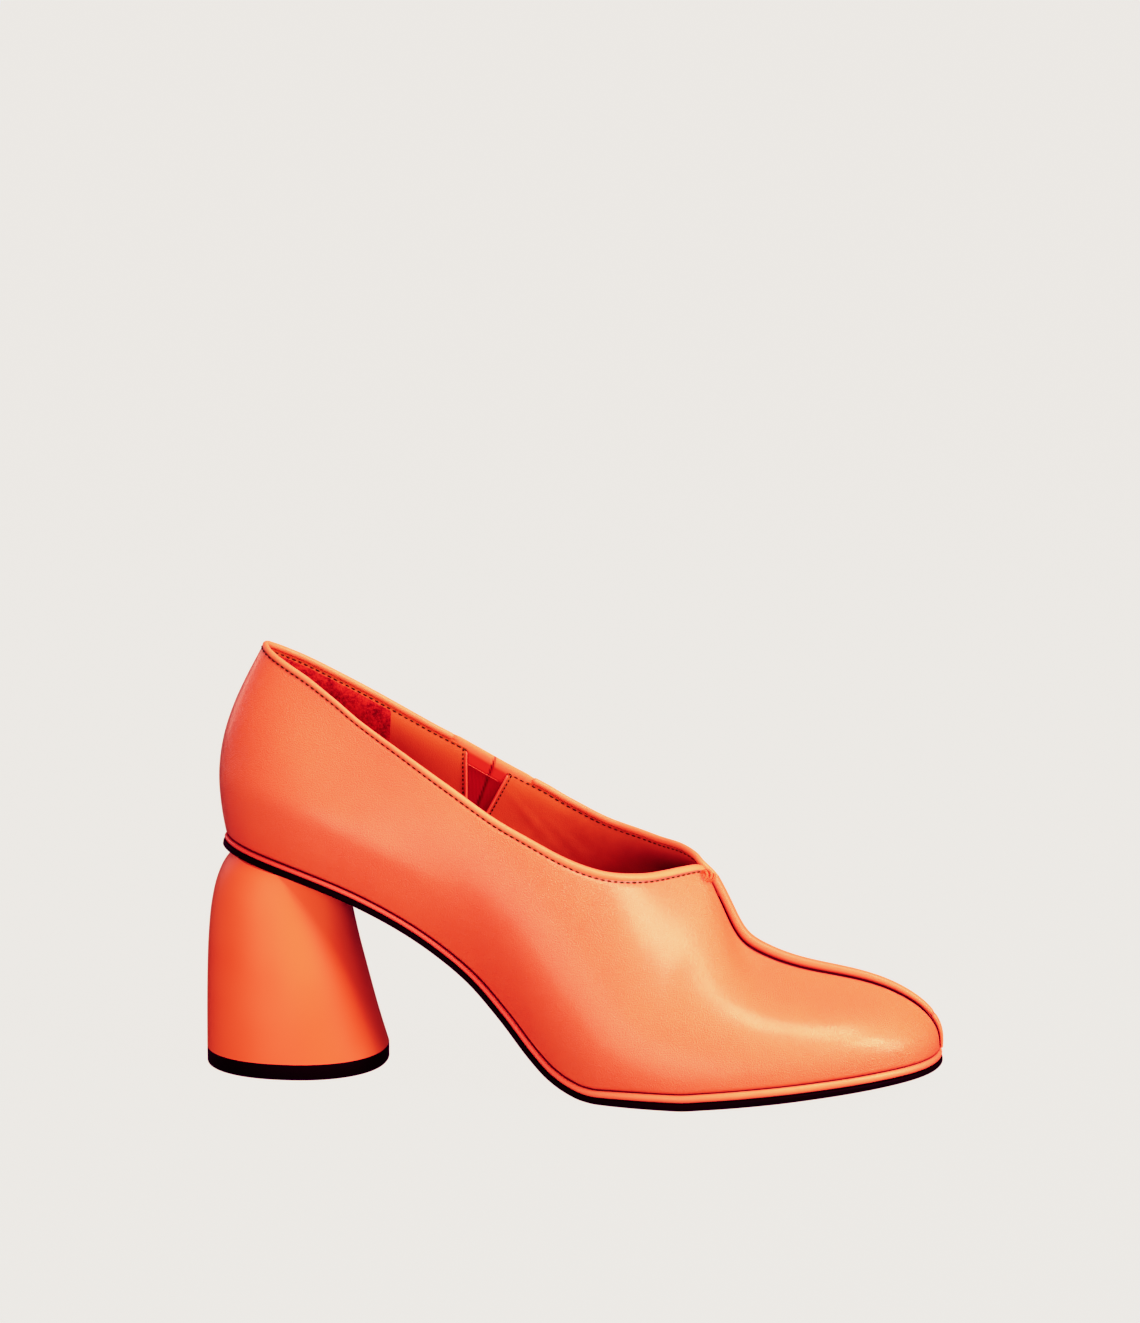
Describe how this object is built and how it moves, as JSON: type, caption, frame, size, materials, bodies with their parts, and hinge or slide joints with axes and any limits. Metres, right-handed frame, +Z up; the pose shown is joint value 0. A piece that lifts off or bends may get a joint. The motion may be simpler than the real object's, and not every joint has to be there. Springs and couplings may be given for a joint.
{
  "type": "heeled loafer",
  "caption": "Slip-on leather loafer for the right foot with a rounded toe, deep V throat, centre piping, bound collar, medial gore and a high sculpted block heel.",
  "frame": {"origin": "on the floor under the middle of the shoe's bounding box", "axes": "+X from heel to toe, +Y to the medial (inner) side, +Z up from the floor"},
  "size_m": [0.2425, 0.0846, 0.1391],
  "materials": {
    "upper_leather": "orange-red grained calf leather with a soft sheen",
    "edge_leather": "lighter orange rolled leather edge, satin",
    "gore_elastic": "dark red lined elastic",
    "lining_leather": "red lining leather with a suede heel grip, matte",
    "heel_cover": "smooth orange leather cover, satin",
    "black_rubber": "near-black matte rubber"
  },
  "bodies": {
    "root": {"upper": "upper_leather", "collar_binding": "edge_leather", "collar_binding_front": "edge_leather", "vamp_piping": "edge_leather", "rand": "edge_leather", "gore": "gore_elastic", "insole": "lining_leather", "outsole": "black_rubber", "heel": "heel_cover", "heel_lift": "black_rubber"}
  },
  "joints": []
}
